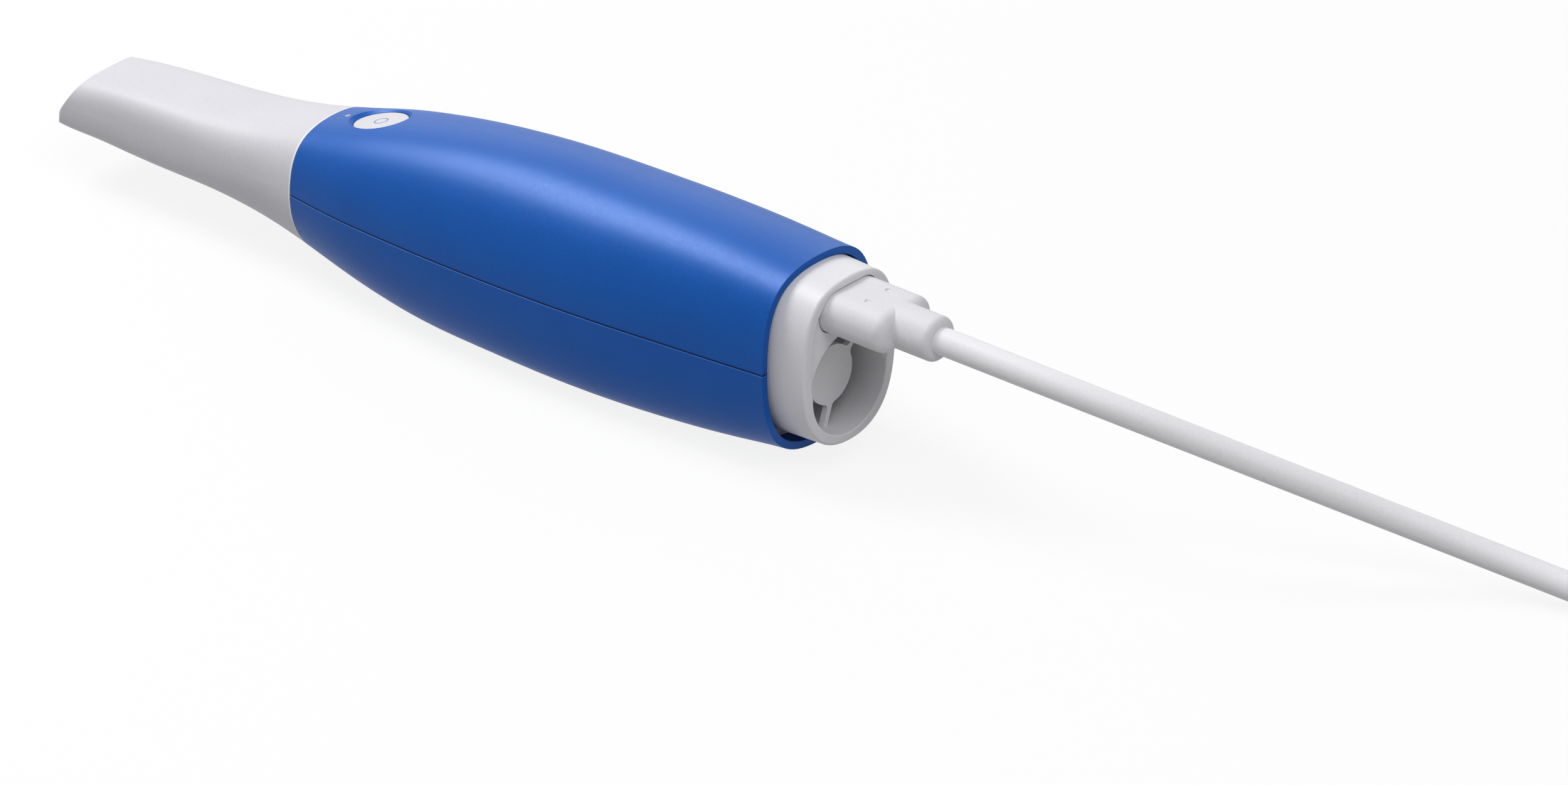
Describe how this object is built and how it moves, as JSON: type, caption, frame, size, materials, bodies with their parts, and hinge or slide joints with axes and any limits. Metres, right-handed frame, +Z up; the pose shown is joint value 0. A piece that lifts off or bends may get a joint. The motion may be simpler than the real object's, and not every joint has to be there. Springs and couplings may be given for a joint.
{
  "type": "intraoral scanner",
  "caption": "Hand-held dental scanner with a slide-off tip, blue two-part housing, scan button, rear cooling fan and a plug-in lead.",
  "frame": {"origin": "middle of the scanner's length and width, on the table under its belly; the lead is not counted", "axes": "+X from the tip to the lead, +Y to the scanner's right-hand side, +Z up through the scan button"},
  "size_m": [0.5549, 0.1048, 0.05],
  "materials": {
    "tip_plastic": "satin",
    "mirror_glass": "polished",
    "black_plastic": "satin",
    "optical_glass": "polished",
    "seal_rubber": "matte",
    "blue_plastic": "satin",
    "button_plastic": "satin",
    "circuit_board": "satin",
    "light_pipe": "satin",
    "machined_aluminium": "satin",
    "plated_steel": "satin",
    "cap_plastic": "satin",
    "lead_plastic": "satin",
    "lead_jacket": "satin"
  },
  "bodies": {
    "handpiece": {"nose": "black_plastic", "nose_window": "optical_glass", "nose_seal": "seal_rubber", "upper_housing": "blue_plastic", "lower_housing": "blue_plastic", "button_switch": "black_plastic", "button_board": "circuit_board", "status_light": "light_pipe", "optics_frame": "machined_aluminium", "projector_barrel": "machined_aluminium", "projector_lens": "optical_glass", "pattern_slide": "optical_glass", "led_dome": "optical_glass", "led_board": "circuit_board", "heat_sink": "machined_aluminium", "frame_screws": "plated_steel", "main_board": "circuit_board", "processor": "black_plastic", "board_screws": "plated_steel", "usb_socket": "plated_steel", "rear_cap": "cap_plastic", "fan_frame": "black_plastic", "fan_screws": "plated_steel", "left_camera_barrel": "machined_aluminium", "left_camera_lens": "optical_glass", "left_sensor_board": "circuit_board", "right_camera_barrel": "machined_aluminium", "right_camera_lens": "optical_glass", "right_sensor_board": "circuit_board"},
    "tip": {"tip_sleeve": "tip_plastic", "tip_mirror": "mirror_glass"},
    "button": {"scan_button": "button_plastic", "switch_plunger": "black_plastic"},
    "fan": {"fan_rotor": "black_plastic"},
    "lead": {"plug_overmould": "lead_plastic", "plug_shell": "plated_steel", "cable_lead": "lead_jacket", "cable_coil": "lead_jacket", "cable_tail": "lead_jacket", "hub_plug": "lead_plastic", "hub_plug_shell": "plated_steel"}
  },
  "joints": [
    {"name": "button_press", "type": "slide", "parent": "handpiece", "child": "button", "axis": [0.2672, 0, -0.9636], "range_m": [0, 0.0004], "stiffness_N_per_m": 3000},
    {"name": "tip_pull", "type": "slide", "parent": "handpiece", "child": "tip", "axis": [-1, 0, 0], "range_m": [0, 0.05]},
    {"name": "fan_spin", "type": "hinge", "parent": "handpiece", "child": "fan", "pos_m": [0.0905, 0, 0.0208], "axis": [1, 0, 0], "continuous": true},
    {"name": "plug_pull", "type": "slide", "parent": "handpiece", "child": "lead", "axis": [1, 0, 0], "range_m": [0, 0.014]}
  ]
}
